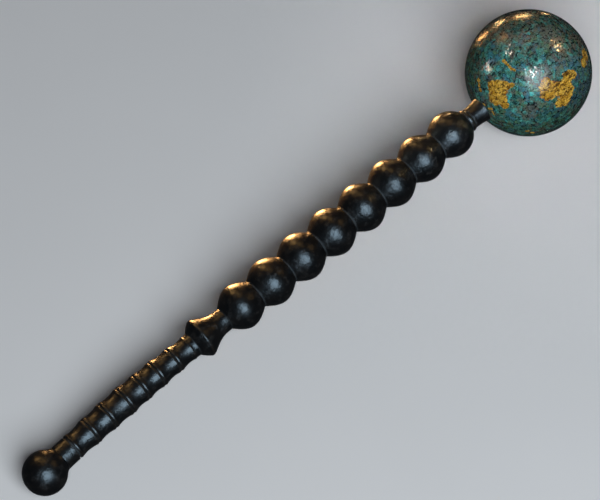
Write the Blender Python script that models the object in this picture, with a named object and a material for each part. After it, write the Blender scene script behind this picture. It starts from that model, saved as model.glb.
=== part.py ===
"""Elder staff: a turned wooden shaft with a globe on its neck and a ball at its foot, lying down.

Lengths are metres. The staff lies along X, its foot towards -X and its globe towards +X.
Z is up, and the floor is at Z = 0. The origin is on the floor, below the middle of the staff.
"""
import math

import bmesh
import bpy
from mathutils import Matrix, Vector

# Globe on the neck, with a small flat below that keeps it from rolling
GLOBE_RADIUS = 0.0666
GLOBE_FLAT_RADIUS = 0.010

# Ball at the foot, with its own small flat and the short shoulder beside the joint
POMMEL_RADIUS = 0.0229
POMMEL_FLAT_RADIUS = 0.006
SHOULDER_LENGTH = 0.0044
SHOULDER_RISE = 0.0022
SHOULDER_HOLLOW = 0.0003

# Gap left at each joint between two pieces
JOINT_GAP = 0.0003

# Plain stub beside the foot, and the deep groove between it and the grip
STUB_RADIUS = 0.0138
STUB_LENGTH = 0.0142
STUB_GROOVE_WIDTH = 0.0024
STUB_GROOVE_DEPTH = 0.0013

# Grip: eight nodes with a shallow hollow between each two, turned by hand and so not quite even
NODE_RADII = (0.0137, 0.0146, 0.0150, 0.0154, 0.0148, 0.0144, 0.0135, 0.0128)
BAY_LENGTHS = (0.0244, 0.0229, 0.0234, 0.0211, 0.0213, 0.0223, 0.0194)
BAY_HOLLOW = 0.0009
RIDGE_WIDTH = 0.0030
RIDGE_CROWN = 0.0004
NODE_GROOVE_WIDTH = 0.0011
NODE_GROOVE_DEPTH = 0.0008

# Flange above the grip
FLANGE_FOOT_DISTANCE = 0.0066
FLANGE_FOOT_RADIUS = 0.0130
FLANGE_RADIUS = 0.0215
FLANGE_RISE_LENGTH = 0.0096
FLANGE_RISE_BULGE = 0.0007
FLANGE_RIM_WIDTH = 0.0012

# Trumpet-shaped cove that falls from the flange; a bias under 1 makes it fall soonest near the flange
TRUMPET_RADIUS = 0.0124
TRUMPET_LENGTH = 0.0255
TRUMPET_FALL_BIAS = 0.7
TRUMPET_FOOT_LENGTH = 0.0050

# Row of balls, the middle ones a little larger than the end ones
BEAD_COUNT = 8
BEAD_PITCH = 0.04133
BEAD_RADIUS = 0.0257
BEAD_END_LOSS = 0.0013
BEAD_GROOVE_RADIUS = 0.0158
BEAD_GROOVE_WIDTH = 0.0018
ROW_END_RADIUS = 0.0119

# Neck below the globe: a thin ring, a groove and a flared collar
NECK_RING_LENGTH = 0.0046
NECK_RING_CROWN = 0.0008
NECK_GROOVE_RADIUS = 0.0106
NECK_GROOVE_WIDTH = 0.0018
COLLAR_RADIUS = 0.0115
COLLAR_FLARE_RADIUS = 0.0132
COLLAR_LENGTH = 0.0158
COLLAR_HOLLOW = 0.0004

# Slow sideways bend of the shaft: each end leans off the line, and the whole bows back a little
GRIP_LEAN = 0.0070
GRIP_LEAN_LENGTH = 0.158
HEAD_LEAN = 0.0009
HEAD_LEAN_LENGTH = 0.060
SHAFT_BOW = -0.0020

# Fineness of the turned surfaces
SHAFT_SEGMENTS = 24
GLOBE_SEGMENTS = 36
POMMEL_SEGMENTS = 24
GLOBE_STEPS = 18
POMMEL_STEPS = 11
BEAD_STEPS = 4
TRUMPET_STEPS = 6
ARC_STEPS = 3
RIDGE_STEPS = 2
SMOOTH_ANGLE = math.radians(34)

# Plain colours of the finishes, with their roughness
LACQUER_COLOR = (0.016, 0.014, 0.013)
LACQUER_ROUGHNESS = 0.36
PATINA_COLOR = (0.055, 0.135, 0.125)
PATINA_ROUGHNESS = 0.22


class Outline:
    """The outline of a turned piece: its radius at each place along its axis."""

    def __init__(self, place, radius):
        self.points = [(place, radius)]

    @property
    def place(self):
        return self.points[-1][0]

    @property
    def radius(self):
        return self.points[-1][1]

    def step(self, radius):
        """Cuts a square shoulder to another radius."""
        self.points.append((self.place, radius))

    def line(self, length, radius):
        """Turns a straight or conical stretch."""
        self.points.append((self.place + length, radius))

    def arc(self, length, radius, bulge, steps):
        """Turns a round stretch whose middle stands out by bulge, or is hollow if bulge is negative."""
        start = Vector(self.points[-1])
        end = Vector((self.place + length, radius))
        chord = end - start
        outward = Vector((-chord.y, chord.x)).normalized() * math.copysign(1.0, bulge)
        half_angle = 2 * math.atan(2 * abs(bulge) / chord.length)
        arc_radius = chord.length / 2 / math.sin(half_angle)
        centre = (start + end) / 2 + outward * (abs(bulge) - arc_radius)
        for index in range(1, steps + 1):
            angle = half_angle * (2 * index / steps - 1)
            along = chord.normalized() * math.sin(angle)
            point = centre + (along + outward * math.cos(angle)) * arc_radius
            self.points.append(tuple(point))

    def climb(self, length, radius, steps):
        """Turns the lower half of a knuckle: steep at first, and level at its top."""
        start = self.place
        low = self.radius
        for share in shares(steps):
            height = (radius - low) * math.sin(math.pi / 2 * share)
            self.points.append((start + length * share, low + height))

    def fall(self, length, radius, steps):
        """Turns the upper half of a knuckle: level at its top, and steep at its end."""
        start = self.place
        top = self.radius
        for share in shares(steps):
            height = (top - radius) * math.cos(math.pi / 2 * share)
            self.points.append((start + length * share, radius + height))

    def round_off(self, radius, steps):
        """Turns the side of a ball, from its level top down to a smaller radius."""
        start = self.place
        ball = self.radius
        end_angle = math.acos(radius / ball)
        for share in shares(steps):
            angle = end_angle * share
            self.points.append((start + ball * math.sin(angle), ball * math.cos(angle)))


def shares(steps):
    """Gives the even shares of a stretch, the last one whole."""
    return [index / steps for index in range(1, steps + 1)]


def clear_scene():
    """Removes every object of the scene."""
    for old in list(bpy.data.objects):
        bpy.data.objects.remove(old, do_unlink=True)


def surface(name, color, roughness):
    """Makes a plain surface in the piece's own colour."""
    material = bpy.data.materials.new(name)
    material.use_nodes = True
    shader = material.node_tree.nodes["Principled BSDF"]
    shader.inputs["Base Color"].default_value = (*color, 1.0)
    shader.inputs["Roughness"].default_value = roughness
    shader.inputs["Metallic"].default_value = 0.0
    return material


def turn_stub(outline):
    """Turns the plain stub and the deep groove at its end."""
    outline.line(STUB_LENGTH, STUB_RADIUS)
    outline.step(STUB_RADIUS - STUB_GROOVE_DEPTH)
    outline.line(STUB_GROOVE_WIDTH, outline.radius)
    outline.step(NODE_RADII[0])
    outline.arc(RIDGE_WIDTH, NODE_RADII[0], RIDGE_CROWN, RIDGE_STEPS)


def turn_grip(outline):
    """Turns the nodes of the grip, each two small ridges with a fine groove between them."""
    node_half = RIDGE_WIDTH + NODE_GROOVE_WIDTH / 2
    spent = STUB_GROOVE_WIDTH / 2 + RIDGE_WIDTH
    for length, radius in zip(BAY_LENGTHS[:-1], NODE_RADII[1:-1]):
        outline.arc(length - spent - node_half, radius, -BAY_HOLLOW, ARC_STEPS)
        outline.arc(RIDGE_WIDTH, radius, RIDGE_CROWN, RIDGE_STEPS)
        outline.line(NODE_GROOVE_WIDTH / 2, radius - NODE_GROOVE_DEPTH)
        outline.line(NODE_GROOVE_WIDTH / 2, radius)
        outline.arc(RIDGE_WIDTH, radius, RIDGE_CROWN, RIDGE_STEPS)
        spent = node_half
    last_bay = BAY_LENGTHS[-1] - spent - RIDGE_WIDTH / 2
    outline.arc(last_bay, NODE_RADII[-1], -BAY_HOLLOW, ARC_STEPS)
    outline.arc(RIDGE_WIDTH, NODE_RADII[-1], RIDGE_CROWN, RIDGE_STEPS)


def turn_flange(outline):
    """Turns the flange's rounded rise, its rim and the trumpet that falls from it."""
    outline.line(FLANGE_FOOT_DISTANCE - RIDGE_WIDTH / 2, FLANGE_FOOT_RADIUS)
    outline.arc(FLANGE_RISE_LENGTH, FLANGE_RADIUS, FLANGE_RISE_BULGE, ARC_STEPS)
    outline.line(FLANGE_RIM_WIDTH, FLANGE_RADIUS)
    start = outline.place
    fall = FLANGE_RADIUS - TRUMPET_RADIUS
    for share in shares(TRUMPET_STEPS):
        height = (1 + math.cos(math.pi * share**TRUMPET_FALL_BIAS)) / 2
        outline.points.append((start + TRUMPET_LENGTH * share, TRUMPET_RADIUS + fall * height))
    outline.line(TRUMPET_FOOT_LENGTH, TRUMPET_RADIUS)


def bead_radius(index):
    """Gives one ball's radius, as the row swells a little towards its middle."""
    middle = (BEAD_COUNT - 1) / 2
    return BEAD_RADIUS - BEAD_END_LOSS * ((index - middle) / middle) ** 2


def turn_beads(outline):
    """Turns the row of balls, with a narrow flat groove between each two."""
    half_ball = (BEAD_PITCH - BEAD_GROOVE_WIDTH) / 2
    outline.step(ROW_END_RADIUS)
    outline.climb(BEAD_PITCH / 2, bead_radius(0), BEAD_STEPS)
    for index in range(1, BEAD_COUNT):
        outline.fall(half_ball, BEAD_GROOVE_RADIUS, BEAD_STEPS)
        outline.line(BEAD_GROOVE_WIDTH, BEAD_GROOVE_RADIUS)
        outline.climb(half_ball, bead_radius(index), BEAD_STEPS)
    outline.round_off(ROW_END_RADIUS, BEAD_STEPS)


def turn_neck(outline):
    """Turns the thin ring, the groove and the flared collar that meets the globe."""
    outline.arc(NECK_RING_LENGTH, ROW_END_RADIUS, NECK_RING_CROWN, ARC_STEPS)
    outline.step(NECK_GROOVE_RADIUS)
    outline.line(NECK_GROOVE_WIDTH, NECK_GROOVE_RADIUS)
    outline.step(COLLAR_RADIUS)
    outline.arc(COLLAR_LENGTH, COLLAR_FLARE_RADIUS, -COLLAR_HOLLOW, ARC_STEPS)


def shaft_outline():
    """Draws the whole shaft, from its foot joint to its globe joint."""
    outline = Outline(0.0, STUB_RADIUS)
    turn_stub(outline)
    turn_grip(outline)
    turn_flange(outline)
    turn_beads(outline)
    turn_neck(outline)
    return outline


def pommel_outline():
    """Draws the foot ball about its own centre, and the shoulder that ends at the joint."""
    rim = STUB_RADIUS + SHOULDER_RISE
    last_angle = math.pi - math.asin(rim / POMMEL_RADIUS)
    outline = Outline(-POMMEL_RADIUS, 0.0)
    for share in shares(POMMEL_STEPS):
        angle = last_angle * share
        outline.points.append((-POMMEL_RADIUS * math.cos(angle), POMMEL_RADIUS * math.sin(angle)))
    outline.arc(SHOULDER_LENGTH, STUB_RADIUS, -SHOULDER_HOLLOW, RIDGE_STEPS)
    return outline


def globe_outline():
    """Draws the globe about its own centre, from its seat on the collar round to its far pole."""
    first_angle = math.asin(COLLAR_FLARE_RADIUS / GLOBE_RADIUS)
    turn = math.pi - first_angle
    seat = -GLOBE_RADIUS * math.cos(first_angle)
    outline = Outline(seat, COLLAR_FLARE_RADIUS)
    for share in shares(GLOBE_STEPS)[:-1]:
        angle = first_angle + turn * share
        outline.points.append((-GLOBE_RADIUS * math.cos(angle), GLOBE_RADIUS * math.sin(angle)))
    outline.points.append((GLOBE_RADIUS, 0.0))
    return outline


def bend(place, length):
    """Gives the shaft's sideways offset at a place along it, and the slope there."""
    share = place / length
    offset = 4 * SHAFT_BOW * share * (1 - share)
    slope = 4 * SHAFT_BOW * (1 - 2 * share) / length
    grip_share = max(0.0, 1 - place / GRIP_LEAN_LENGTH)
    offset -= GRIP_LEAN * grip_share**2
    slope += 2 * GRIP_LEAN * grip_share / GRIP_LEAN_LENGTH
    head_share = max(0.0, 1 - (length - place) / HEAD_LEAN_LENGTH)
    offset -= HEAD_LEAN * head_share**2
    slope -= 2 * HEAD_LEAN * head_share / HEAD_LEAN_LENGTH
    return offset, slope


def bent_frame(place, length):
    """Gives the frame of the bent shaft at a place: its X runs along the shaft."""
    offset, slope = bend(place, length)
    return Matrix.Translation((place, offset, 0.0)) @ Matrix.Rotation(math.atan(slope), 4, "Z")


def straight_frame(place):
    """Gives the frame of a straight piece at a place along it."""
    return Matrix.Translation((place, 0.0, 0.0))


def turned_mesh(name, outline, segments, frame_at):
    """Spins an outline into a closed mesh, with each ring square to the axis where it is."""
    bm = bmesh.new()
    rings = []
    for place, radius in outline.points:
        frame = frame_at(place)
        if radius == 0.0:
            rings.append([bm.verts.new(frame @ Vector((0, 0, 0)))])
            continue
        ring = []
        for index in range(segments):
            angle = 2 * math.pi * index / segments
            spoke = Vector((0, math.cos(angle), math.sin(angle)))
            ring.append(bm.verts.new(frame @ (radius * spoke)))
        rings.append(ring)
    for low, high in zip(rings, rings[1:]):
        for index in range(segments):
            after = (index + 1) % segments
            if len(low) == 1:
                bm.faces.new((low[0], high[index], high[after]))
            elif len(high) == 1:
                bm.faces.new((low[index], high[0], low[after]))
            else:
                bm.faces.new((low[index], high[index], high[after], low[after]))
    for ring in (rings[0], rings[-1]):
        if len(ring) > 1:
            bm.faces.new(ring)
    bmesh.ops.recalc_face_normals(bm, faces=bm.faces)
    mesh = bpy.data.meshes.new(name)
    bm.to_mesh(mesh)
    bm.free()
    return mesh


def add_piece(name, mesh, material, parent, frame):
    """Puts a mesh in the scene as one named piece of the staff."""
    piece = bpy.data.objects.new(name, mesh)
    bpy.context.scene.collection.objects.link(piece)
    piece.parent = parent
    piece.location = frame.to_translation()
    piece.rotation_euler = frame.to_euler()
    mesh.materials.append(material)
    mesh.shade_smooth()
    mesh.set_sharp_from_angle(angle=SMOOTH_ANGLE)
    return piece


def cut_flat(mesh, to_world):
    """Cuts a mesh off level with the floor, and closes the cut with a flat face."""
    to_local = to_world.inverted()
    floor_point = to_local @ Vector((0, 0, 0))
    down = (to_local.to_3x3() @ Vector((0, 0, -1))).normalized()
    bm = bmesh.new()
    bm.from_mesh(mesh)
    everything = bm.verts[:] + bm.edges[:] + bm.faces[:]
    cut = bmesh.ops.bisect_plane(bm, geom=everything, plane_co=floor_point, plane_no=down, clear_outer=True)
    rim = [item for item in cut["geom_cut"] if isinstance(item, bmesh.types.BMEdge)]
    bmesh.ops.edgeloop_fill(bm, edges=rim)
    bmesh.ops.recalc_face_normals(bm, faces=bm.faces)
    bm.to_mesh(mesh)
    bm.free()


def lying_frame(foot, head):
    """Turns the staff so that both balls rest on the floor, with their centres above the X axis."""
    reach = head - foot
    foot_height = math.sqrt(POMMEL_RADIUS**2 - POMMEL_FLAT_RADIUS**2)
    head_height = math.sqrt(GLOBE_RADIUS**2 - GLOBE_FLAT_RADIUS**2)
    heading = math.atan2(reach.y, reach.x)
    climb = math.asin((head_height - foot_height) / reach.length)
    turn = Matrix.Rotation(-climb, 4, "Y") @ Matrix.Rotation(-heading, 4, "Z")
    span = reach.length * math.cos(climb)
    foot_place = Vector((-(span + GLOBE_RADIUS - POMMEL_RADIUS) / 2, 0, foot_height))
    return Matrix.Translation(foot_place) @ turn @ Matrix.Translation(-foot)


def build():
    """Builds the three pieces of the staff, lying as it rests on a floor."""
    clear_scene()
    lacquer = surface("black_lacquer", LACQUER_COLOR, LACQUER_ROUGHNESS)
    patina = surface("verdigris_varnish", PATINA_COLOR, PATINA_ROUGHNESS)

    shaft = shaft_outline()
    pommel = pommel_outline()
    globe = globe_outline()
    length = shaft.place

    def shaft_frame(place):
        return bent_frame(place, length)

    foot_joint = shaft_frame(0.0)
    head_joint = shaft_frame(length)
    foot_frame = foot_joint @ Matrix.Translation((-pommel.place - JOINT_GAP, 0, 0))
    head_frame = head_joint @ Matrix.Translation((JOINT_GAP - globe.points[0][0], 0, 0))

    staff = bpy.data.objects.new("staff", None)
    bpy.context.scene.collection.objects.link(staff)
    lying = lying_frame(foot_frame.to_translation(), head_frame.to_translation())
    staff.location = lying.to_translation()
    staff.rotation_euler = lying.to_euler()

    shaft_mesh = turned_mesh("turned_shaft", shaft, SHAFT_SEGMENTS, shaft_frame)
    pommel_mesh = turned_mesh("pommel_ball", pommel, POMMEL_SEGMENTS, straight_frame)
    globe_mesh = turned_mesh("globe_head", globe, GLOBE_SEGMENTS, straight_frame)
    cut_flat(pommel_mesh, lying @ foot_frame)
    cut_flat(globe_mesh, lying @ head_frame)

    add_piece("turned_shaft", shaft_mesh, lacquer, staff, Matrix.Identity(4))
    add_piece("pommel_ball", pommel_mesh, lacquer, staff, foot_frame)
    add_piece("globe_head", globe_mesh, patina, staff, head_frame)


build()
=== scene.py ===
# %% [markdown]
# # A turned staff with a globe at its head
# The real object is a ceremonial staff: one long turned stick, lacquered nearly black, with a big
# varnished globe on its neck and a small ball at its foot. It lies on a table, touching it with both
# balls. Blender could carve such a thing in many ways, but every piece was made on a lathe, so the
# lesson does the same: it draws outlines, spins them, and then spends its effort on the finishes.
# The packed model is loaded first. It is the fixed frame, and every fine piece takes a place in it.

# %% Load the frame
import math

import bmesh
import bpy
import numpy as np
from mathutils import Matrix, Vector, noise


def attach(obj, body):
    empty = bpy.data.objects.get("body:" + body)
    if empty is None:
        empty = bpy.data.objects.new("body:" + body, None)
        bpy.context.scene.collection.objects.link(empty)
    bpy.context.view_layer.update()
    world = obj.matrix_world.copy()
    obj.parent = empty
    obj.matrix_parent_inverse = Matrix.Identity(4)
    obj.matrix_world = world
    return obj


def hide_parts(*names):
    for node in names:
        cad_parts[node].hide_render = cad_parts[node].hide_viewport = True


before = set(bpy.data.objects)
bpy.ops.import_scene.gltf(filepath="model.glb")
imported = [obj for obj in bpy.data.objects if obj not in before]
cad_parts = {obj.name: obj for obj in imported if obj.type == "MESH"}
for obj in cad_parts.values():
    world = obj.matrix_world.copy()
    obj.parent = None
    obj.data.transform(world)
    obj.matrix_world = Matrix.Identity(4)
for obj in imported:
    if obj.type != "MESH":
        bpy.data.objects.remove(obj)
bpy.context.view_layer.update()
MM = 0.001
print("frame loaded:", sorted(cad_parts))

# %% [markdown]
# ## The sizes
# A turner works from a rod with marks on it. These are the marks: radii and lengths in metres, read
# along the staff from the foot to the head. The script can't read the solid model's source, so they
# are written out once more here. All are the same as in the solid model, apart from two kinds of
# groove: here the one between two balls is narrower, and the one in each node is deeper.

# %% Marks on the rod
GLOBE_RADIUS = 0.0666
GLOBE_FLAT_RADIUS = 0.010
POMMEL_RADIUS = 0.0229
POMMEL_FLAT_RADIUS = 0.006
SHOULDER = {"length": 0.0044, "rise": 0.0022, "hollow": 0.0003}
JOINT_GAP = 0.0003
STUB = {"radius": 0.0138, "length": 0.0142, "groove_width": 0.0024, "groove_depth": 0.0013}
NODE_RADII = (0.0137, 0.0146, 0.0150, 0.0154, 0.0148, 0.0144, 0.0135, 0.0128)
BAY_LENGTHS = (0.0244, 0.0229, 0.0234, 0.0211, 0.0213, 0.0223, 0.0194)
BAY_HOLLOW = 0.0009
RIDGE = {"width": 0.0030, "crown": 0.0004}
NODE_GROOVE = {"width": 0.0011, "depth": 0.0010}
FLANGE = {
    "foot_distance": 0.0066, "foot_radius": 0.0130, "rise": 0.0096, "radius": 0.0215, "bulge": 0.0007,
    "rim_width": 0.0012,
}
TRUMPET = {"radius": 0.0124, "length": 0.0255, "bias": 0.7, "foot": 0.0050}
BEAD_COUNT = 8
BEAD_PITCH = 0.04133
BEAD_RADIUS = 0.0257
BEAD_END_LOSS = 0.0013
BEAD_GROOVE = {"radius": 0.0158, "width": 0.0007}
ROW_END_RADIUS = 0.0119
NECK = {"ring": 0.0046, "crown": 0.0008, "groove_radius": 0.0106, "groove_width": 0.0018}
COLLAR = {"radius": 0.0115, "flare": 0.0132, "length": 0.0158, "hollow": 0.0004}
GRIP_LEAN, GRIP_LEAN_LENGTH = 0.0070, 0.158
HEAD_LEAN, HEAD_LEAN_LENGTH = 0.0009, 0.060
SHAFT_BOW = -0.0020
print("balls in the row:", BEAD_COUNT, "pitch in mm:", BEAD_PITCH / MM)

# %% [markdown]
# ## Drawing an outline
# A turned piece is all in its outline: the radius at each place along the axis. The outline is drawn
# with a few strokes, each named for the cut that a turner makes. A curve object with bevels could do
# it too, but a list of points is easier to soften, to thin out and to measure.

# %% Strokes of the outline
CURVE_STEPS = 40


def even_stops(first, last, steps):
    """Even stops from first to last, without the first."""
    return np.linspace(first, last, steps + 1)[1:]


class Outline:
    """The radius of a turned piece at each place along its axis."""

    def __init__(self, place, radius):
        self.points = [(place, radius)]

    @property
    def place(self):
        return self.points[-1][0]

    @property
    def radius(self):
        return self.points[-1][1]

    def step(self, radius):
        """A square shoulder to another radius."""
        self.points.append((self.place, radius))

    def line(self, length, radius):
        """A straight or conical stretch."""
        self.points.append((self.place + length, radius))

    def run(self, length, height_at):
        """A stretch whose radius follows height_at(share), for shares from 0 to 1."""
        start = self.place
        for share in even_stops(0, 1, CURVE_STEPS):
            self.points.append((start + length * share, height_at(share)))

    def arc(self, length, radius, bulge):
        """A shallow round stretch: bulge stands out, or is hollow if it is negative."""
        low = self.radius
        self.run(length, lambda t: low + (radius - low) * t + 4 * bulge * t * (1 - t))


print("strokes:", [name for name in vars(Outline) if not name.startswith("_")])

# %% The shaft's outline
def bead_radius(index):
    """The balls of the row swell a little towards its middle."""
    middle = (BEAD_COUNT - 1) / 2
    return BEAD_RADIUS - BEAD_END_LOSS * ((index - middle) / middle) ** 2


def draw_grip(outline):
    """A stub, a deep groove, then eight nodes with shallow hollows between them."""
    outline.line(STUB["length"], STUB["radius"])
    outline.step(STUB["radius"] - STUB["groove_depth"])
    outline.line(STUB["groove_width"], outline.radius)
    outline.step(NODE_RADII[0])
    outline.arc(RIDGE["width"], NODE_RADII[0], RIDGE["crown"])
    half_groove = NODE_GROOVE["width"] / 2
    spent = STUB["groove_width"] / 2 + RIDGE["width"]
    for length, radius in zip(BAY_LENGTHS[:-1], NODE_RADII[1:-1]):
        outline.arc(length - spent - RIDGE["width"] - half_groove, radius, -BAY_HOLLOW)
        outline.arc(RIDGE["width"], radius, RIDGE["crown"])
        outline.line(half_groove, radius - NODE_GROOVE["depth"])
        outline.line(half_groove, radius)
        outline.arc(RIDGE["width"], radius, RIDGE["crown"])
        spent = RIDGE["width"] + half_groove
    outline.arc(BAY_LENGTHS[-1] - spent - RIDGE["width"] / 2, NODE_RADII[-1], -BAY_HOLLOW)
    outline.arc(RIDGE["width"], NODE_RADII[-1], RIDGE["crown"])


def draw_flange(outline):
    """A flange that rises out of the grip and falls away like a trumpet's bell."""
    outline.line(FLANGE["foot_distance"] - RIDGE["width"] / 2, FLANGE["foot_radius"])
    outline.arc(FLANGE["rise"], FLANGE["radius"], FLANGE["bulge"])
    outline.line(FLANGE["rim_width"], FLANGE["radius"])
    fall = FLANGE["radius"] - TRUMPET["radius"]
    bell = lambda t: TRUMPET["radius"] + fall * (1 + math.cos(math.pi * t ** TRUMPET["bias"])) / 2
    outline.run(TRUMPET["length"], bell)
    outline.line(TRUMPET["foot"], TRUMPET["radius"])


def draw_beads(outline):
    """Eight balls with a narrow groove between each two."""
    half_ball = (BEAD_PITCH - BEAD_GROOVE["width"]) / 2
    low = ROW_END_RADIUS
    outline.step(low)
    for index in range(BEAD_COUNT):
        top = bead_radius(index)
        length = BEAD_PITCH / 2 if index == 0 else half_ball
        outline.run(length, lambda t: low + (top - low) * math.sin(math.pi / 2 * t))
        if index == BEAD_COUNT - 1:
            break
        low = BEAD_GROOVE["radius"]
        outline.run(half_ball, lambda t: low + (top - low) * math.cos(math.pi / 2 * t))
        outline.line(BEAD_GROOVE["width"], low)
    start = outline.place
    end_angle = math.acos(ROW_END_RADIUS / top)
    for angle in even_stops(0, end_angle, CURVE_STEPS):
        outline.points.append((start + top * math.sin(angle), top * math.cos(angle)))


def draw_neck(outline):
    """A thin ring, a groove, and the flared collar that carries the globe."""
    outline.arc(NECK["ring"], ROW_END_RADIUS, NECK["crown"])
    outline.step(NECK["groove_radius"])
    outline.line(NECK["groove_width"], NECK["groove_radius"])
    outline.step(COLLAR["radius"])
    outline.arc(COLLAR["length"], COLLAR["flare"], -COLLAR["hollow"])


shaft_line = Outline(0.0, STUB["radius"])
for stroke in (draw_grip, draw_flange, draw_beads, draw_neck):
    stroke(shaft_line)
SHAFT_LENGTH = shaft_line.place
print("shaft length in mm:", round(SHAFT_LENGTH / MM, 2))

# %% The two balls' outlines
POMMEL_STEPS, GLOBE_STEPS = 120, 240


def draw_pommel():
    """The foot ball about its own centre, with a short shoulder down to the joint."""
    last_angle = math.pi - math.asin((STUB["radius"] + SHOULDER["rise"]) / POMMEL_RADIUS)
    outline = Outline(-POMMEL_RADIUS, 0.0)
    for angle in even_stops(0, last_angle, POMMEL_STEPS):
        outline.points.append((-POMMEL_RADIUS * math.cos(angle), POMMEL_RADIUS * math.sin(angle)))
    outline.arc(SHOULDER["length"], STUB["radius"], -SHOULDER["hollow"])
    return outline


def draw_globe():
    """The globe about its own centre, from its seat on the collar to its far pole."""
    first_angle = math.asin(COLLAR["flare"] / GLOBE_RADIUS)
    outline = Outline(-GLOBE_RADIUS * math.cos(first_angle), COLLAR["flare"])
    for angle in even_stops(first_angle, math.pi, GLOBE_STEPS):
        outline.points.append((-GLOBE_RADIUS * math.cos(angle), GLOBE_RADIUS * abs(math.sin(angle))))
    outline.points[-1] = (GLOBE_RADIUS, 0.0)
    return outline


pommel_line = draw_pommel()
globe_line = draw_globe()
print("foot joint and globe seat in mm:", pommel_line.place / MM, globe_line.points[0][0] / MM)

# %% [markdown]
# ## Softening the outline
# Lacquer rounds every corner that the chisel leaves. The outline is therefore sampled finely, blurred
# along its length by a fraction of a millimetre, and thinned again so that only bends keep many
# points. A bevel modifier would treat all edges of the spun mesh, at many times the cost.
# The same pass measures how far each point stands proud of its neighbourhood. The finish uses that
# later: pale dust, which also paints a faint highlight line, stays in what lies low, and hands
# polish what stands high.

# %% Soften, thin and measure
FINE_STEP = 0.00004
ROUNDING = 0.00010
PROUD_REACH = 0.0012


def blurred(values, reach):
    """A row of values blurred over a length in metres, with its two ends kept in place."""
    half = int(3 * reach / FINE_STEP)
    weights = np.exp(-0.5 * (np.arange(-half, half + 1) * FINE_STEP / reach) ** 2)
    padded = np.pad(values, half, mode="reflect", reflect_type="odd")
    return np.convolve(padded, weights / weights.sum(), mode="valid")


def softened(outline, turn_limit=8.0, stretch_limit=0.0020):
    """Gives the places, radii and proudness in mm of a softened and thinned outline.

    A point is kept where the outline has turned by more degrees than turn_limit, or has run on for
    more metres than stretch_limit, since the last one.
    """
    points = np.array(outline.points)
    run = np.concatenate(([0], np.cumsum(np.hypot(*np.diff(points, axis=0).T))))
    fine = np.linspace(0, run[-1], int(run[-1] / FINE_STEP) + 1)
    place = blurred(np.interp(fine, run, points[:, 0]), ROUNDING)
    radius = blurred(np.interp(fine, run, points[:, 1]), ROUNDING)
    proud = (radius - blurred(radius, PROUD_REACH)) / MM
    heading = np.unwrap(np.arctan2(np.gradient(radius), np.gradient(place)))
    kept = [0]
    for index in range(1, len(fine) - 1):
        turned = abs(math.degrees(heading[index] - heading[kept[-1]]))
        if turned > turn_limit or fine[index] - fine[kept[-1]] > stretch_limit:
            kept.append(index)
    kept.append(len(fine) - 1)
    return [values[kept].tolist() for values in (place, radius, proud)]


print("points on the shaft's outline:", len(softened(shaft_line)[0]))

# %% [markdown]
# ## Lying down
# The stick isn't quite straight: its grip end leans to one side, as old turned wood does. The frame
# of each ring follows that bend. The whole staff is then tipped so that both balls rest on the floor,
# each on a small flat where it has worn, which also keeps it from rolling.

# %% Bend and lying frames
def bent_frame(place):
    """The frame of the bent shaft at a place: its X runs along the shaft."""
    share = place / SHAFT_LENGTH
    grip = max(0.0, 1 - place / GRIP_LEAN_LENGTH)
    head = max(0.0, 1 - (SHAFT_LENGTH - place) / HEAD_LEAN_LENGTH)
    offset = 4 * SHAFT_BOW * share * (1 - share) - GRIP_LEAN * grip**2 - HEAD_LEAN * head**2
    slope = 4 * SHAFT_BOW * (1 - 2 * share) / SHAFT_LENGTH
    slope += 2 * GRIP_LEAN * grip / GRIP_LEAN_LENGTH - 2 * HEAD_LEAN * head / HEAD_LEAN_LENGTH
    return Matrix.Translation((place, offset, 0)) @ Matrix.Rotation(math.atan(slope), 4, "Z")


def lying_frame(foot, head):
    """Lays the staff on the floor, with the centres of both balls above the X axis."""
    reach = head - foot
    foot_height = math.sqrt(POMMEL_RADIUS**2 - POMMEL_FLAT_RADIUS**2)
    head_height = math.sqrt(GLOBE_RADIUS**2 - GLOBE_FLAT_RADIUS**2)
    climb = math.asin((head_height - foot_height) / reach.length)
    turn = Matrix.Rotation(-climb, 4, "Y") @ Matrix.Rotation(-math.atan2(reach.y, reach.x), 4, "Z")
    span = reach.length * math.cos(climb)
    foot_place = Vector((-(span + GLOBE_RADIUS - POMMEL_RADIUS) / 2, 0, foot_height))
    return Matrix.Translation(foot_place) @ turn @ Matrix.Translation(-foot)


foot_frame = bent_frame(0.0) @ Matrix.Translation((-pommel_line.place - JOINT_GAP, 0, 0))
head_seat = Matrix.Translation((JOINT_GAP - globe_line.points[0][0], 0, 0))
head_frame = bent_frame(SHAFT_LENGTH) @ head_seat
lying = lying_frame(foot_frame.to_translation(), head_frame.to_translation())
print("globe centre in mm:", [round(v / MM, 1) for v in (lying @ head_frame).to_translation()])

# %% [markdown]
# ## Spinning the outline
# Each ring of the mesh is one point of the outline, spun round the axis. Two things make the result
# look made by hand: a touch of slow unevenness that a true lathe wouldn't leave, and any relief of
# the surface. The mesh also stores, for the finish, its straight coordinates in millimetres, so that
# the finish follows the turned wood and not the room, and the proudness measured above.

# %% Spin a piece
# The unevenness is a height in metres, in waves a metre; the sharp angle is in degrees.
UNEVENNESS, UNEVEN_WAVES = 0.00006, 60
POLE_RADIUS = 1e-6
SHARP_ANGLE = 50


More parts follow.
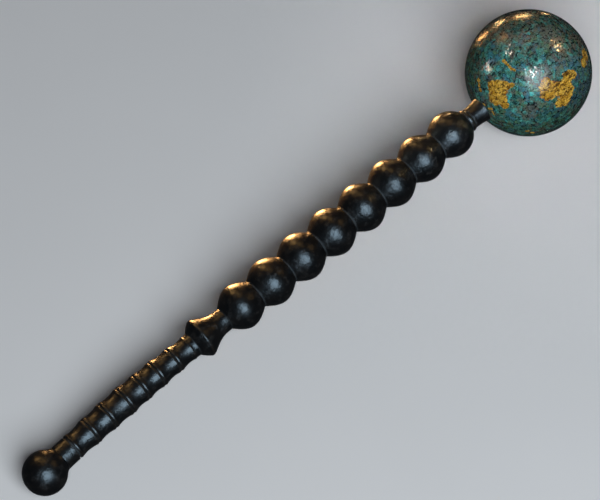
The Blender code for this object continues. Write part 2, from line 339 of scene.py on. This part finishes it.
def spun_piece(name, outline, segments, frame_at, to_world, uneven=UNEVENNESS, relief=None, **limits):
    """Spins an outline into a closed mesh, in place, with its straight coordinates stored on it."""
    places, radii, proud = softened(outline, **limits)
    bm = bmesh.new()
    straight, heights, rings = [], [], []
    for place, radius, height in zip(places, radii, proud):
        local = frame_at(place)
        ring = []
        count = segments if radius > POLE_RADIUS else 1
        for index in range(count):
            angle = 2 * math.pi * index / segments
            spoke = Vector((0, math.cos(angle), math.sin(angle)))
            point = Vector((place, 0, 0)) + radius * spoke
            lift = uneven * noise.noise(point * UNEVEN_WAVES) if count > 1 else 0.0
            shift = relief(point) if relief else Vector((0, 0, 0))
            world = to_world @ (local @ ((radius + lift) * spoke + shift))
            world.z = max(world.z, 0.0)
            ring.append(bm.verts.new(world))
            straight.extend(point / MM)
            heights.append(height)
        rings.append(ring)
    for low, high in zip(rings, rings[1:]):
        for index in range(segments):
            after = (index + 1) % segments
            way_round = ((low, index), (high, index), (high, after), (low, after))
            corners = [ring[side % len(ring)] for ring, side in way_round]
            bm.faces.new(list(dict.fromkeys(corners)))
    for ring in (rings[0], rings[-1]):
        if len(ring) > 1:
            bm.faces.new(ring)
    bmesh.ops.recalc_face_normals(bm, faces=bm.faces)
    mesh = bpy.data.meshes.new(name)
    bm.to_mesh(mesh)
    bm.free()
    mesh.shade_smooth()
    mesh.set_sharp_from_angle(angle=math.radians(SHARP_ANGLE))
    mesh.attributes.new("straight", "FLOAT_VECTOR", "POINT").data.foreach_set("vector", straight)
    mesh.attributes.new("proud", "FLOAT", "POINT").data.foreach_set("value", heights)
    piece = bpy.data.objects.new(name, mesh)
    bpy.context.scene.collection.objects.link(piece)
    print(name, "faces:", len(mesh.polygons))
    return piece


def straight_frame(place):
    """The frame of a piece that isn't bent, at a place along it."""
    return Matrix.Translation((place, 0, 0))


staff_shaft = spun_piece("staff_shaft", shaft_line, segments=88, frame_at=bent_frame, to_world=lying)
foot_ball = spun_piece(
    "foot_ball", pommel_line, segments=96, frame_at=straight_frame, to_world=lying @ foot_frame,
)

# %% [markdown]
# ## The globe and its gilding
# The globe is a turned ball under a thick, uneven varnish. Its surface is full of shallow pits and
# chips, which break up every highlight, so the larger ones are real relief. Irregular patches of gold
# leaf sit on it, a hair proud of the paint. Each patch is a few overlapping lobes, given by a turn
# round the staff, a tip away from the neck and a radius. The same field drives relief and colour.

# %% Patches of leaf
# Each lobe is its turn in degrees, its tip in degrees and its radius in millimetres.
LEAF_LOBES = (
    (-4, 36, 5.6), (-15, 38, 10.0), (-17, 46, 5.0), (-22, 32, 9.0), (-36, 34, 5.7),
    (-41, 77, 6.8), (-49, 75, 7.8), (-50, 85, 8.6), (-47, 98, 6.8), (-49, 104, 4.6), (-57, 90, 10.0),
    (-64, 86, 7.0), (-65, 81, 5.4),
    (4, 61, 1.8), (1, 61, 1.5), (-2, 61, 1.4), (-5, 61, 1.5), (-8, 61, 1.6), (-11, 62, 1.6),
    (-21, 52, 2.4), (-48, 133, 6.0), (-51, 124, 5.0), (26, 32, 2.2), (22, 28, 2.2), (17, 24, 2.2),
    (-8, 13, 1.5), (-14, 13, 1.5), (-36, 15, 1.4), (-38, 18, 1.5), (-50, 17, 1.2), (-59, 17, 1.4),
    (118, 62, 7.5), (126, 71, 8.5), (112, 74, 6.0), (121, 84, 5.0), (150, 120, 6.5), (161, 113, 7.5),
    (64, 118, 5.0), (72, 124, 6.5), (-128, 58, 6.0), (-138, 64, 7.5), (-131, 74, 5.5), (-118, 128, 5.0),
    (-96, 47, 2.0), (-101, 52, 2.4), (83, 47, 2.2), (88, 42, 1.8),
)


def globe_direction(turn, tip):
    """The direction of a spot on the globe: turned round the staff from the top, tipped from the neck."""
    turn, tip = math.radians(turn), math.radians(tip)
    return Vector((-math.cos(tip), math.sin(tip) * math.sin(turn), math.sin(tip) * math.cos(turn)))


LOBES = [(GLOBE_RADIUS * globe_direction(turn, tip), size * MM) for turn, tip, size in LEAF_LOBES]


def leaf_field(point):
    """1 in the middle of a lobe of leaf, 0 at its edge, and down to -1 away from all of them."""
    nearest = min((point - centre).length / radius for centre, radius in LOBES)
    return max(-1.0, 1.0 - nearest)


print("lobes of leaf:", len(LOBES))

# %% Relief of the globe
CHIP_MM, CHIP_HEIGHT = 3.4, 0.00022
CHIP_TOP, CHIP_MIDDLE = 0.35, 0.2
RIPPLE_MM, RIPPLE_SHIFT_MM = 6, 1.2
WAVE_MM, WAVE_HEIGHT = 9, 0.00012
LEAF_HEIGHT, LEAF_EDGE = 0.00010, 5
RELIEF_SINK = 0.00015
SEAT_MARGIN = 0.0008
# Blender's vector noise starts from the clock. A fixed seed makes it the same in each run.
RIPPLE_SEED = 1
noise.seed_set(RIPPLE_SEED)


def globe_relief(point):
    """Moves a point of the globe in or out by its chips, waves and leaf, but not where it is seated."""
    if point.x < globe_line.points[0][0] + SEAT_MARGIN:
        return Vector((0, 0, 0))
    rippled = point / MM + RIPPLE_SHIFT_MM * noise.noise_vector(point / (RIPPLE_MM * MM))
    near = noise.voronoi(rippled / CHIP_MM)[0]
    chips = min(near[1] - near[0], CHIP_TOP) - CHIP_MIDDLE
    lift = CHIP_HEIGHT * chips + WAVE_HEIGHT * noise.noise(point / (WAVE_MM * MM))
    lift += LEAF_HEIGHT * min(max(leaf_field(point) * LEAF_EDGE, 0.0), 1.0)
    return (lift - RELIEF_SINK) * point.normalized()


staff_globe = spun_piece(
    "staff_globe", globe_line, segments=384, frame_at=straight_frame, to_world=lying @ head_frame,
    uneven=0.0, relief=globe_relief, turn_limit=1.0, stretch_limit=0.0011,
)
spots = np.zeros(len(staff_globe.data.vertices) * 3)
staff_globe.data.attributes["straight"].data.foreach_get("vector", spots)
leaf_values = [leaf_field(Vector(spot) * MM) for spot in spots.reshape(-1, 3)]
staff_globe.data.attributes.new("leaf", "FLOAT", "POINT").data.foreach_set("value", leaf_values)
print("share of the globe under leaf:", round(float(np.mean(np.array(leaf_values) > 0)), 3))

# %% [markdown]
# ## A small language for finishes
# A material is a graph of nodes, and wiring one node at a time hides what it means. Here a socket is
# wrapped in a small class, so that sums on a surface are written as sums. Colours and vectors have
# their own Mix and Vector Math nodes, and every other node comes from one method.

# %% Wires and finishes
# The height in metres that a bump of 1 stands for.
BUMP_UNIT = 0.00006


class Wire:
    """An output socket that can be used in sums."""

    def __init__(self, finish, socket):
        self.finish = finish
        self.socket = socket

    def maths(self, operation, *values):
        """Adds a Math node of these values, this wire first unless the values hold it already."""
        order = values if self in values else (self, *values)
        return self.finish.add("ShaderNodeMath", {"operation": operation}, dict(enumerate(order)))[0]

    def __add__(self, other):
        return self.maths("ADD", other)

    def __sub__(self, other):
        return self.maths("SUBTRACT", other)

    def __rsub__(self, other):
        return self.maths("SUBTRACT", other, self)

    def __mul__(self, other):
        return self.maths("MULTIPLY", other)

    __radd__ = __add__
    __rmul__ = __mul__

    def ramp(self, low, high, start=0.0, end=1.0):
        """Goes smoothly from start to end as the wire goes from low to high."""
        values = {0: self, 1: low, 2: high, 3: start, 4: end}
        return self.finish.add("ShaderNodeMapRange", {"interpolation_type": "SMOOTHSTEP"}, values)[0]


class Finish:
    """One material, and the nodes that it is made of."""

    def __init__(self, name):
        self.material = bpy.data.materials.new(name)
        self.material.use_nodes = True
        self.tree = self.material.node_tree
        self.shader = self.tree.nodes["Principled BSDF"]

    def add(self, kind, settings=None, sockets=None):
        """Adds a node, sets its settings, then its sockets, and gives its outputs as wires."""
        node = self.tree.nodes.new(kind)
        for setting, value in (settings or {}).items():
            if setting == "stops":
                self.set_stops(node.color_ramp, value)
            else:
                setattr(node, setting, value)
        for socket, value in (sockets or {}).items():
            self.feed(node.inputs[socket], value)
        wires = {index: Wire(self, output) for index, output in enumerate(node.outputs)}
        wires.update({output.name: wires[index] for index, output in enumerate(node.outputs)})
        return wires

    def set_stops(self, ramp, stops):
        """Gives a ramp its stops, each a place and a colour."""
        while len(ramp.elements) < len(stops):
            ramp.elements.new(0.5)
        for element, (place, colour) in zip(ramp.elements, stops):
            element.position = place
            element.color = (*colour, 1.0)

    def feed(self, socket, value):
        """Links a wire to a socket, or sets the socket to a plain value."""
        if isinstance(value, Wire):
            self.tree.links.new(value.socket, socket)
        else:
            socket.default_value = value

    def attribute(self, name, output):
        """Reads what the mesh stores under this name."""
        return self.add("ShaderNodeAttribute", {"attribute_name": name})[output]

    def mix(self, factor, low, high, blend="MIX"):
        """Mixes two colours."""
        low, high = (c if isinstance(c, Wire) else (*c, 1.0) for c in (low, high))
        settings = {"data_type": "RGBA", "blend_type": blend}
        return self.add("ShaderNodeMix", settings, {0: factor, 6: low, 7: high})[2]

    def vector(self, operation, *values):
        """Adds a Vector Math node; SCALE takes a vector and a plain number."""
        sockets = dict(enumerate(values)) if operation != "SCALE" else {0: values[0], 3: values[1]}
        outputs = self.add("ShaderNodeVectorMath", {"operation": operation}, sockets)
        return outputs["Value" if operation == "DOT_PRODUCT" else "Vector"]

    def grain(self, where, scale, detail=3.0, roughness=0.5):
        """A cloudy noise around a half, scale in spots for each millimetre."""
        sockets = {"Vector": where, "Scale": scale, "Detail": detail, "Roughness": roughness}
        return self.add("ShaderNodeTexNoise", {}, sockets)

    def cells(self, where, scale, feature="F1"):
        """A mosaic of cells, scale in cells for each millimetre."""
        return self.add("ShaderNodeTexVoronoi", {"feature": feature}, {"Vector": where, "Scale": scale})

    def colour_ramp(self, wire, stops):
        """Reads a row of (place, colour) stops by a wire."""
        return self.add("ShaderNodeValToRGB", {"stops": stops}, {0: wire})[0]

    def relief(self, height):
        """Bumps the surface by a height wire, a height of 1 standing for BUMP_UNIT."""
        bump = self.add("ShaderNodeBump", {}, {"Height": height, "Distance": BUMP_UNIT})
        self.feed(self.shader.inputs["Normal"], bump[0])

    def dress(self, **sockets):
        """Feeds the shader's own sockets, named with underscores for spaces."""
        for name, value in sockets.items():
            if isinstance(value, tuple):
                value = (*value, 1.0)
            self.feed(self.shader.inputs[name.replace("_", " ")], value)


print("sums on wires:", [name for name in vars(Wire) if name.endswith(("add__", "sub__", "mul__"))])

# %% [markdown]
# ## Black lacquer
# The lacquer is nearly black with a brown cast where it thins over the wood. It has a satin shine
# that is brushed round the piece by sanding on the lathe, cloudy from handling, with patches of fine
# scratches, tiny bits of dust, and a paler dust left in the grooves, which also paints a faint
# highlight line in each of them. A picture of scratches could be wrapped round it, but noise on the
# straight coordinates has no seam and follows every curve.

# %% Lacquer
BLACK, BROWN_BLACK = (0.0028, 0.0025, 0.0025), (0.0065, 0.0050, 0.0040)
WORN_BROWN = (0.020, 0.015, 0.011)
# The groove colour is pale dust and also a painted highlight: the faint line of light in each groove.
GROOVE_DUST_AND_SHEEN, SPECK_DUST = (0.07, 0.066, 0.06), (0.12, 0.115, 0.11)
SCRATCH_GREY = (0.13, 0.12, 0.11)
COLD_SHEEN = (0.66, 0.86, 1.0)


def lacquer_finish():
    """Nearly black lacquer with clouds, lathe marks, scratches and dust; the grooves' dust is also a
    painted highlight line.
    """
    finish = Finish("black_lacquer")
    straight = finish.attribute("straight", "Vector")
    proud = finish.attribute("proud", "Fac")
    stretched = lambda along, across: finish.vector("MULTIPLY", straight, (along, across, across))
    clouds = finish.grain(straight, 0.11, 4.0, 0.6)[0]
    lathe = finish.grain(stretched(1.0, 0.06), 2.2, 3.0, 0.7)[0]
    dents = finish.grain(straight, 0.28, 2.0)[0]
    speck_cells = finish.cells(straight, 0.55)
    specks = speck_cells["Distance"].ramp(0.16, 0.07)
    chance = finish.add("ShaderNodeSeparateColor", {}, {0: speck_cells["Color"]})[0]
    specks = specks * chance.ramp(0.78, 0.82)
    scratch_field = finish.grain(stretched(0.10, 1.3), 1.0, 2.0, 0.5)[0]
    scratch = (scratch_field - 0.5).maths("ABSOLUTE").ramp(0.026, 0.006)
    scratch = scratch * finish.grain(straight, 0.13, 1.0)[0].ramp(0.55, 0.62)
    low_lying = proud.ramp(-0.08, -0.40)
    crest = proud.ramp(0.06, 0.22)
    base = finish.mix(clouds.ramp(0.35, 0.7), BLACK, BROWN_BLACK)
    base = finish.mix(crest * 0.5, base, WORN_BROWN)
    # Pale dust in the grooves, which also paints a faint highlight line there.
    base = finish.mix(low_lying * dents.ramp(0.40, 0.62) * 0.25, base, GROOVE_DUST_AND_SHEEN)
    base = finish.mix(specks * 0.5, base, SPECK_DUST)
    base = finish.mix(scratch * 0.40, base, SCRATCH_GREY)
    rough = 0.31 + (clouds - 0.5) * 0.16 + (lathe - 0.5) * 0.08 + scratch * 0.12 + low_lying * 0.42
    finish.dress(Base_Color=base, Roughness=rough, Specular_IOR_Level=0.85, Specular_Tint=COLD_SHEEN)
    finish.relief(lathe * 0.4 + dents * 6.0 + clouds * 4.0 - scratch * 0.5 + specks * 0.6)
    return finish.material


black_lacquer = lacquer_finish()
print("lacquer nodes:", len(black_lacquer.node_tree.nodes))

# %% [markdown]
# ## Verdigris under varnish
# The globe looks like a mosaic of little chips of paint, two to five millimetres long, in greens and
# blues of old copper, with near-black gaps, short dark strokes and browner or bluer zones. Cells of
# two sizes give the chips, with their edges ruffled by noise; the chance colour of each cell picks
# its paint. Broad zones, each facing its own way, then make one side bluer, paint warm light on
# the top rim as a browner zone, and paint shade on two parts: the rim away from the camera and the
# low side towards it. The leaf is yellow ochre, darker at its edges, with a fine brown crackle. The
# varnish is smooth but wavy, so that each lamp shows in it as a cluster of sparks. Such a skin could
# be painted by hand, but cells and noise cover the far side too, and any colour is one line to change.

# %% Globe colours
COPPER_GREENS = (
    (0.00, (0.010, 0.030, 0.030)), (0.22, (0.036, 0.130, 0.116)), (0.45, (0.058, 0.245, 0.215)),
    (0.62, (0.078, 0.320, 0.278)), (0.80, (0.095, 0.430, 0.375)), (1.00, (0.022, 0.500, 0.500)),
)
OLIVE, DEEP_BLUE, PLUM = (0.092, 0.240, 0.115), (0.048, 0.180, 0.270), (0.090, 0.048, 0.070)
# The second colour here is painted warm light, for the globe's top rim.
UMBER, WARM_LIGHT_BROWN, SKY_BLUE = (0.145, 0.128, 0.092), (0.190, 0.165, 0.115), (0.070, 0.200, 0.300)
SOOT, GAP_BLACK = (0.020, 0.026, 0.028), (0.006, 0.008, 0.010)
STREAK_BLACK, STROKE_BLACK = (0.006, 0.008, 0.012), (0.008, 0.010, 0.012)
# Painted shade: the first dims the globe's rim away from the camera, the second its low side.
RIM_SHADE_DIM, LOW_SHADE_DIM = (0.86, 0.69, 0.60), (0.72, 0.68, 0.64)
RED_GOLD, DEEP_GOLD, BRIGHT_GOLD = (0.44, 0.130, 0.018), (0.56, 0.290, 0.024), (0.90, 0.580, 0.090)
GOLD_SHADE, CRACK_BROWN = (0.10, 0.040, 0.010), (0.060, 0.024, 0.008)
print("copper greens:", len(COPPER_GREENS))

# %% Globe paint
def globe_finish():
    """A mosaic of verdigris paint with patches of gold leaf, under varnish."""
    finish = Finish("verdigris_varnish")
    straight = finish.attribute("straight", "Vector")
    leaf_field_wire = finish.attribute("leaf", "Fac")
    ruffle = finish.grain(straight, 0.38, 3.0, 0.55)["Color"]
    ruffle = finish.vector("SUBTRACT", ruffle, (0.5, 0.5, 0.5))
    ruffled = finish.vector("ADD", straight, finish.vector("SCALE", ruffle, 1.7))
    slanted = finish.vector("MULTIPLY", ruffled, (1.2, 0.85, 1.0))
    big = finish.cells(slanted, 0.17)
    small = finish.cells(slanted, 0.30)
    gaps = finish.cells(slanted, 0.17, "DISTANCE_TO_EDGE")[0]
    split = lambda cell: finish.add("ShaderNodeSeparateColor", {}, {0: cell["Color"]})
    big_chance, small_chance = split(big), split(small)
    zones = finish.grain(straight, 0.035, 2.0, 0.5)[0]
    blots = finish.grain(ruffled, 0.12, 4.0, 0.6)[0]
    streaks = finish.grain(finish.vector("MULTIPLY", ruffled, (0.45, 1.0, 1.0)), 0.36, 3.0, 0.55)[0]
    strokes = finish.grain(finish.vector("MULTIPLY", ruffled, (0.40, 1.0, 1.0)), 0.42, 1.0, 0.5)[0]
    thin = finish.grain(ruffled, 0.20, 3.0, 0.6)[0]
    fine = finish.grain(straight, 0.95, 2.0, 0.6)[0]

    def facing(turn, tip):
        """1 at a spot of the globe, 0 at a quarter turn from it."""
        return finish.vector("DOT_PRODUCT", straight, globe_direction(turn, tip) * MM / GLOBE_RADIUS)

    # Painted shade: darker towards the rim, away from the spot that faces the camera.
    painted_rim_shade = (facing(-21, 69) + (zones - 0.5) * 0.30).ramp(0.92, 0.35)
    # Painted warm light: a browner zone on the top rim, which faces the warm lamps.
    painted_warm_rim = facing(28, 104).maths("MAXIMUM", facing(-16, 127)).ramp(0.70, 0.99)
    blue_side = facing(-62, 109).ramp(0.86, 0.97)
    # Painted shade: the globe's low side, turned towards the camera, is darker.
    painted_low_shade = facing(-88, 87).ramp(0.60, 0.95)

    tone = big_chance[0] * 0.48 + small_chance[0] * 0.48 + (blots - 0.5) * 0.7 + 0.02
    paint = finish.colour_ramp(tone, COPPER_GREENS)
    paint = finish.mix(small_chance[1].ramp(0.70, 0.85) * 0.75, paint, OLIVE)
    paint = finish.mix(big_chance[1].ramp(0.76, 0.86) * 0.65, paint, DEEP_BLUE)
    paint = finish.mix(big_chance[2].ramp(0.95, 0.97) * 0.60, paint, PLUM)
    undertone = zones * 0.45 + thin * 0.65
    paint = finish.mix(undertone.ramp(0.54, 0.66) * 0.70, paint, UMBER)
    # Painted warm light, in patches, on the top rim.
    paint = finish.mix(painted_warm_rim * undertone.ramp(0.44, 0.58) * 0.65, paint, WARM_LIGHT_BROWN)
    paint = finish.mix(blue_side * small_chance[2].ramp(0.2, 0.6) * 0.75, paint, SKY_BLUE)
    paint = finish.mix(blots.ramp(0.40, 0.32) * 0.65, paint, SOOT)
    paint = finish.mix(gaps.ramp(0.06, 0.02) * streaks.ramp(0.56, 0.46), paint, GAP_BLACK)
    paint = finish.mix(streaks.ramp(0.39, 0.35) * 0.92, paint, STREAK_BLACK)
    stroke = (strokes - 0.5).maths("ABSOLUTE").ramp(0.036, 0.016) * small_chance[2].ramp(0.40, 0.46)
    paint = finish.mix(stroke * 0.85, paint, STROKE_BLACK)
    # Painted shade over the rim, away from the camera.
    paint = finish.mix(painted_rim_shade, paint, RIM_SHADE_DIM, "MULTIPLY")
    # Painted shade on the low side.
    paint = finish.mix(painted_low_shade, paint, LOW_SHADE_DIM, "MULTIPLY")

    edge = leaf_field_wire + (blots - 0.5) * 0.5 + (streaks - 0.5) * 0.5
    edge = edge + (small_chance[2] - 0.5) * 0.22 + (big_chance[2] - 0.5) * 0.16
    leaf_mask = edge.ramp(-0.10, -0.07)
    crackle = finish.cells(finish.vector("ADD", straight, ruffle), 0.40, "DISTANCE_TO_EDGE")[0]
    crackle = crackle.ramp(0.14, 0.03) * streaks.ramp(0.62, 0.46)
    gold = finish.mix(edge.ramp(-0.06, 0.16), RED_GOLD, DEEP_GOLD)
    gold = finish.mix(small_chance[0].ramp(0.2, 0.8) * 0.75, gold, BRIGHT_GOLD)
    gold = finish.mix(streaks.ramp(0.47, 0.36) * 0.90, gold, GOLD_SHADE)
    gold = finish.mix(crackle * 0.90, gold, CRACK_BROWN)
    colour = finish.mix(leaf_mask, paint, gold)
    colour = finish.mix(1.0, colour, fine.ramp(0.30, 0.70, 0.60, 1.40), "MULTIPLY")

    pits = finish.grain(straight, 0.60, 1.0, 0.5)[0]
    peel = finish.grain(straight, 0.27, 1.0, 0.4)[0]
    rough = 0.05 + (blots - 0.5) * 0.04 + leaf_mask * 0.10
    finish.dress(Base_Color=colour, Roughness=rough, Specular_IOR_Level=0.50)
    height = gaps.ramp(0.0, 0.14) * 0.8 + pits * 0.6 + peel * 4.0 + blots * 0.5
    finish.relief(height + leaf_mask * 0.8 - crackle * 0.6)
    return finish.material


verdigris = globe_finish()
print("globe nodes:", len(verdigris.node_tree.nodes))

# %% [markdown]
# ## Dressing the pieces
# Each turned piece gets one finish over all of it, as it would at the lathe, so a piece needs only
# one material. Faces could be given materials one by one instead, which suits a piece with several.
# Each piece also rides on the frame's only body and takes the place of its plain solid.

# %% Dress the pieces and set them in the frame
PIECES = (
    (staff_shaft, "turned_shaft", black_lacquer, "black_lacquer"),
    (foot_ball, "pommel_ball", black_lacquer, "black_lacquer"),
    (staff_globe, "globe_head", verdigris, "verdigris_varnish"),
)
for piece, node, material, slot in PIECES:
    piece.data.materials.append(material)
    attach(piece, "root")
    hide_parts(node)
print("pieces in the frame:", [piece.name for piece, *rest in PIECES])

# %% [markdown]
# ## The floor
# A plain pale floor carries the staff, where the photograph has a plain ground. A thin box or a
# curved sweep would serve too, but one face is enough. It takes light and shadow, but it is kept out
# of the reflections and casts no shadow itself, because the lamps of the photograph stood all round
# the staff, some of them lower than it lies here.

# %% Floor
FLOOR_SIZE = 12.0
FLOOR_DROP = 0.0002
PALE_GREY, NEAR_WHITE = (0.89, 0.875, 0.86), (0.93, 0.915, 0.90)


def floor_finish():
    """A matt pale floor, faintly cloudy."""
    finish = Finish("pale_floor")
    where = finish.add("ShaderNodeTexCoord")["Object"]
    cloud = finish.grain(where, 6.0, 3.0)[0]
    finish.dress(Base_Color=finish.mix(cloud, PALE_GREY, NEAR_WHITE), Roughness=0.8)
    return finish.material


floor_mesh = bpy.data.meshes.new("floor")
side = FLOOR_SIZE / 2
floor_corners = [(-side, -side, 0), (side, -side, 0), (side, side, 0), (-side, side, 0)]
floor_mesh.from_pydata(floor_corners, [], [(0, 1, 2, 3)])
floor_mesh.materials.append(floor_finish())
floor = bpy.data.objects.new("floor", floor_mesh)
floor.location.z = -FLOOR_DROP
floor.visible_glossy = False
floor.visible_diffuse = False
floor.visible_shadow = False
bpy.context.scene.collection.objects.link(floor)
print("floor size in m:", FLOOR_SIZE)

# %% [markdown]
# ## The camera
# The camera stands where the photographer's did: well above the staff, beyond its foot and to one
# side. It could be aimed by a constraint, but two angles and a place can be fitted to a picture.

# %% Camera
CAMERA_AZIMUTH, CAMERA_ELEVATION = 41.674, 61.735
CAMERA_PLACE = Vector((-0.9157, -1.0137, 2.5942))
LENS_MM, SENSOR_MM = 170.35, 36.0


def looking(azimuth, elevation):
    """The direction in which a camera looks, from its heading and its height above the floor."""
    az, el = math.radians(azimuth), math.radians(elevation)
    return Vector((math.cos(el) * math.sin(az), math.cos(el) * math.cos(az), -math.sin(el)))


camera_data = bpy.data.cameras.new("camera")
camera_data.lens = LENS_MM
camera_data.sensor_width = SENSOR_MM
camera = bpy.data.objects.new("camera", camera_data)
camera.location = CAMERA_PLACE
view_line = looking(CAMERA_AZIMUTH, CAMERA_ELEVATION)
camera.rotation_euler = view_line.to_track_quat("-Z", "Y").to_euler()
bpy.context.scene.collection.objects.link(camera)
bpy.context.scene.camera = camera
print("camera looks along", [round(v, 3) for v in view_line])

# %% [markdown]
# ## The light
# The reflections in a ball tell where each lamp stood. Lamps could be moved about by eye until their
# glints fit, but here each is placed by the spot on a ball's round outline where its reflection
# should sit. A soft cool light beside the camera puts a pale spot in the middle of every ball. A
# small warm lamp close to the row, up and behind, gilds the upper edges of the balls, and its grid,
# the spread, keeps it off the globe. A low glow helps it at the row's start. Small lamps show in the
# globe's varnish as sparks, and large faint ones give the black lacquer its brown haze. These last
# three kinds only shine: they add reflections, but no light on the paint or the floor.

# %% Lamp tools
def soft_lamp(name, aim, towards, distance, size, level, colour, face=None, spread=180, shine_only=False):
    """A flat lamp seen from aim in the direction towards; level is the light that reaches aim.

    The lamp is turned to face, or else to aim. A spread below 180 degrees narrows its light.
    """
    data = bpy.data.lights.new(name, "AREA")
    data.shape = "RECTANGLE"
    data.size, data.size_y = size
    data.energy = level * math.pi * distance**2
    data.color = colour
    data.spread = math.radians(spread)
    if spread < 180:
        half_spread = math.radians(spread) / 2
        data.energy *= 1 - half_spread / math.tan(half_spread)
    lamp = bpy.data.objects.new(name, data)
    lamp.location = Vector(aim) + Vector(towards).normalized() * distance
    turned_to = Vector(face or aim) - lamp.location
    lamp.rotation_euler = turned_to.to_track_quat("-Z", "Y").to_euler()
    lamp.visible_camera = False
    lamp.visible_diffuse = not shine_only
    bpy.context.scene.collection.objects.link(lamp)


def mirrored(across, up):
    """The way to a lamp that shines at this place of a ball's round outline, as the camera sees it."""
    azimuth = math.radians(CAMERA_AZIMUTH)
    right = Vector((math.cos(azimuth), -math.sin(azimuth), 0))
    top = right.cross(view_line)
    towards_camera = -view_line
    normal = across * right + up * top + math.sqrt(1 - across**2 - up**2) * towards_camera
    return 2 * normal.dot(towards_camera) * normal - towards_camera


print("towards a lamp behind the camera:", [round(v, 3) for v in mirrored(0, 0)])

# %% Lamps that light the staff
STAFF_MIDDLE = Vector((0.05, 0.0, 0.03))
ROW_START = Vector((-0.060, 0.0, 0.044))
ROW_THIRD = Vector((0.005, 0.0, 0.046))
SIXTH_BALL = Vector((0.1165, 0.0, 0.053))
GLOBE_MIDDLE = Vector((0.3065, 0.0, 0.0658))
GLOBE_FAR_SIDE = Vector((0.335, 0.0, 0.0658))
COOL, WHITE, PALE = (0.86, 0.93, 1.0), (1.0, 0.96, 0.94), (1.0, 0.88, 0.72)
WARM, AMBER = (1.0, 0.60, 0.24), (1.0, 0.47, 0.15)
soft_lamp("camera_side", STAFF_MIDDLE, mirrored(0.11, -0.12), 3.2, (2.3, 2.3), 2.7, COOL)
soft_lamp(
    "globe_spot", GLOBE_MIDDLE, mirrored(0.0, -0.02), 3.1, (0.32, 0.32), 1.0, WHITE,
    face=GLOBE_FAR_SIDE, spread=8,
)
soft_lamp(
    "near_lamp", SIXTH_BALL, mirrored(-0.587, 0.708), 0.66, (0.26, 0.26), 15, AMBER,
    face=ROW_THIRD, spread=36,
)

# %% Lamps that only shine
SPARK_DISTANCE, SPARK_SPREAD = 2.0, 8
GLOW_DISTANCE = 8.0
soft_lamp(
    "low_glow", ROW_THIRD, mirrored(-0.37, 0.56), 1.6, (0.65, 1.3), 3.2, AMBER,
    face=ROW_START, spread=26, shine_only=True,
)
for name, place, size, level, colour in (
    ("spark_centre", (0.02, -0.03), (0.16, 0.10), 1.0, WHITE),
    ("spark_top", (-0.03, 0.868), (0.20, 0.11), 1.4, WARM),
    ("spark_top_left", (-0.393, 0.811), (0.14, 0.10), 0.8, WARM),
    ("spark_right", (0.412, 0.372), (0.10, 0.12), 2.2, WARM),
    ("spark_low_left", (-0.63, 0.080), (0.11, 0.11), 1.0, PALE),
    ("spark_middle", (-0.34, 0.30), (0.09, 0.09), 0.5, PALE),
    ("spark_top_right", (0.32, 0.89), (0.08, 0.08), 0.10, WARM),
):
    soft_lamp(
        name, GLOBE_MIDDLE, mirrored(*place), SPARK_DISTANCE, size, level, colour,
        face=GLOBE_FAR_SIDE, spread=SPARK_SPREAD, shine_only=True,
    )
for name, place, size, level in (
    ("glow_top", (-0.10, 0.868), 0.7, 0.12),
    ("glow_right", (0.40, 0.42), 3.0, 0.11),
    ("glow_upper", (-0.08, 0.52), 3.4, 0.24),
):
    soft_lamp(
        name, GLOBE_MIDDLE, mirrored(*place), GLOW_DISTANCE, (size, size), level, AMBER,
        shine_only=True,
    )

# %% Room light and view
ROOM_COLOUR, ROOM_LEVEL = (0.80, 0.88, 1.0, 1.0), 0.03
world = bpy.data.worlds.new("room")
world.use_nodes = True
world.node_tree.nodes["Background"].inputs["Color"].default_value = ROOM_COLOUR
world.node_tree.nodes["Background"].inputs["Strength"].default_value = ROOM_LEVEL
bpy.context.scene.world = world
bpy.context.scene.view_settings.view_transform = "Standard"
print("view transform:", bpy.context.scene.view_settings.view_transform)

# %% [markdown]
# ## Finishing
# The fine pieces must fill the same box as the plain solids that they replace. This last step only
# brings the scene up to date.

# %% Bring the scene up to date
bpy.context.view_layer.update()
